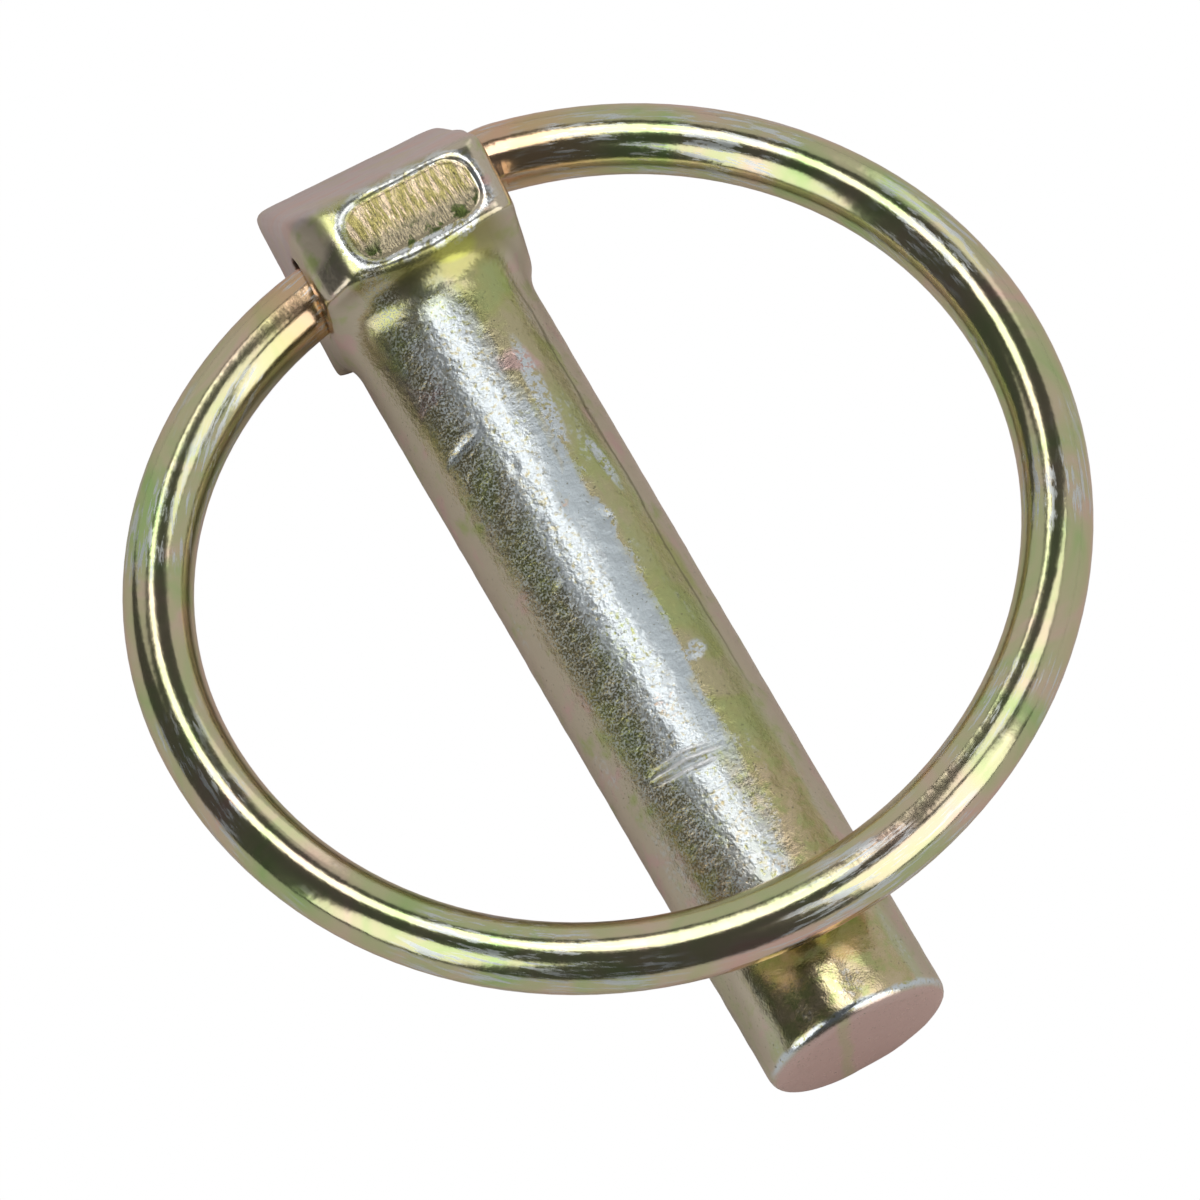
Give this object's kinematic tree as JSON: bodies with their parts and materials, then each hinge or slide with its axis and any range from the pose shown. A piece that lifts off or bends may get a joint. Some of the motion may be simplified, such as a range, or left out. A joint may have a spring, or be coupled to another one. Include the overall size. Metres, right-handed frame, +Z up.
{
  "type": "linch pin",
  "caption": "Linch pin with a wedge-topped block head and a snap ring of round spring wire that swings in a slanted cross hole, yellow zinc plated.",
  "frame": {"origin": "centre of the part's footprint box, on the surface it lies on", "axes": "+Y from the head towards the tip of the pin, +Z up out of the front face of the head, +X to the side where the wire enters nearer the shank"},
  "size_m": [0.0546, 0.0622, 0.016],
  "materials": {
    "pin_steel": "satin",
    "ring_wire": "gloss"
  },
  "bodies": {
    "pin_body": {"pin": "pin_steel"},
    "ring_body": {"ring": "ring_wire"}
  },
  "joints": [
    {"name": "ring_swing", "type": "hinge", "parent": "pin_body", "child": "ring_body", "pos_m": [0.00107, -0.02329, 0.00776], "axis": [0.9863, 0.165, -0.0047], "range_deg": [0, 339.9]}
  ]
}
